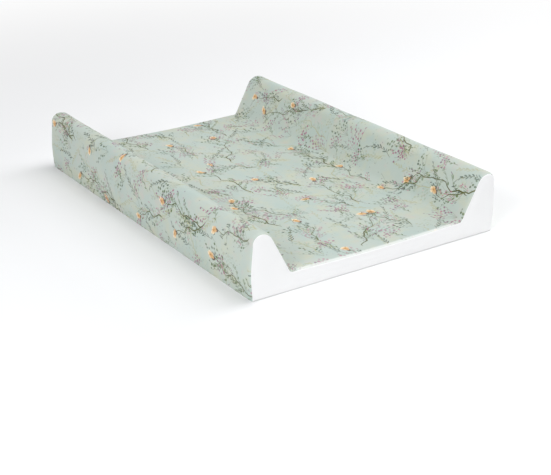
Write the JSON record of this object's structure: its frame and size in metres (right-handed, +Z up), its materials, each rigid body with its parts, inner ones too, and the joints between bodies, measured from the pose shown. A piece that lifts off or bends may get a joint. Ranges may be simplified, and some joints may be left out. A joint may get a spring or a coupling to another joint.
{
  "type": "changing mat",
  "caption": "Padded changing mat with raised wedge-shaped sides, a shallowly dished lying surface and a welded, wipe-clean film skin over foam.",
  "frame": {"origin": "middle of the mat's footprint, on the surface that it rests on", "axes": "+X across the mat towards the right bolster, +Y along the bolsters towards the rear end, +Z up"},
  "size_m": [0.4884, 0.7, 0.107],
  "materials": {
    "foam": "open-cell polyurethane foam, hidden",
    "printed_film": "satin film, mint with a small botanical print",
    "white_film": "satin white film",
    "vent_metal": "nickel plated"
  },
  "bodies": {
    "root": {"foam_base_slab": "foam", "left_foam_bolster": "foam", "right_foam_bolster": "foam", "printed_cover": "printed_film", "front_end_panel": "white_film", "rear_end_panel": "white_film", "underside_panel": "white_film", "left_vent_eyelet": "vent_metal", "left_vent_washer": "vent_metal", "right_vent_eyelet": "vent_metal", "right_vent_washer": "vent_metal"}
  },
  "joints": []
}
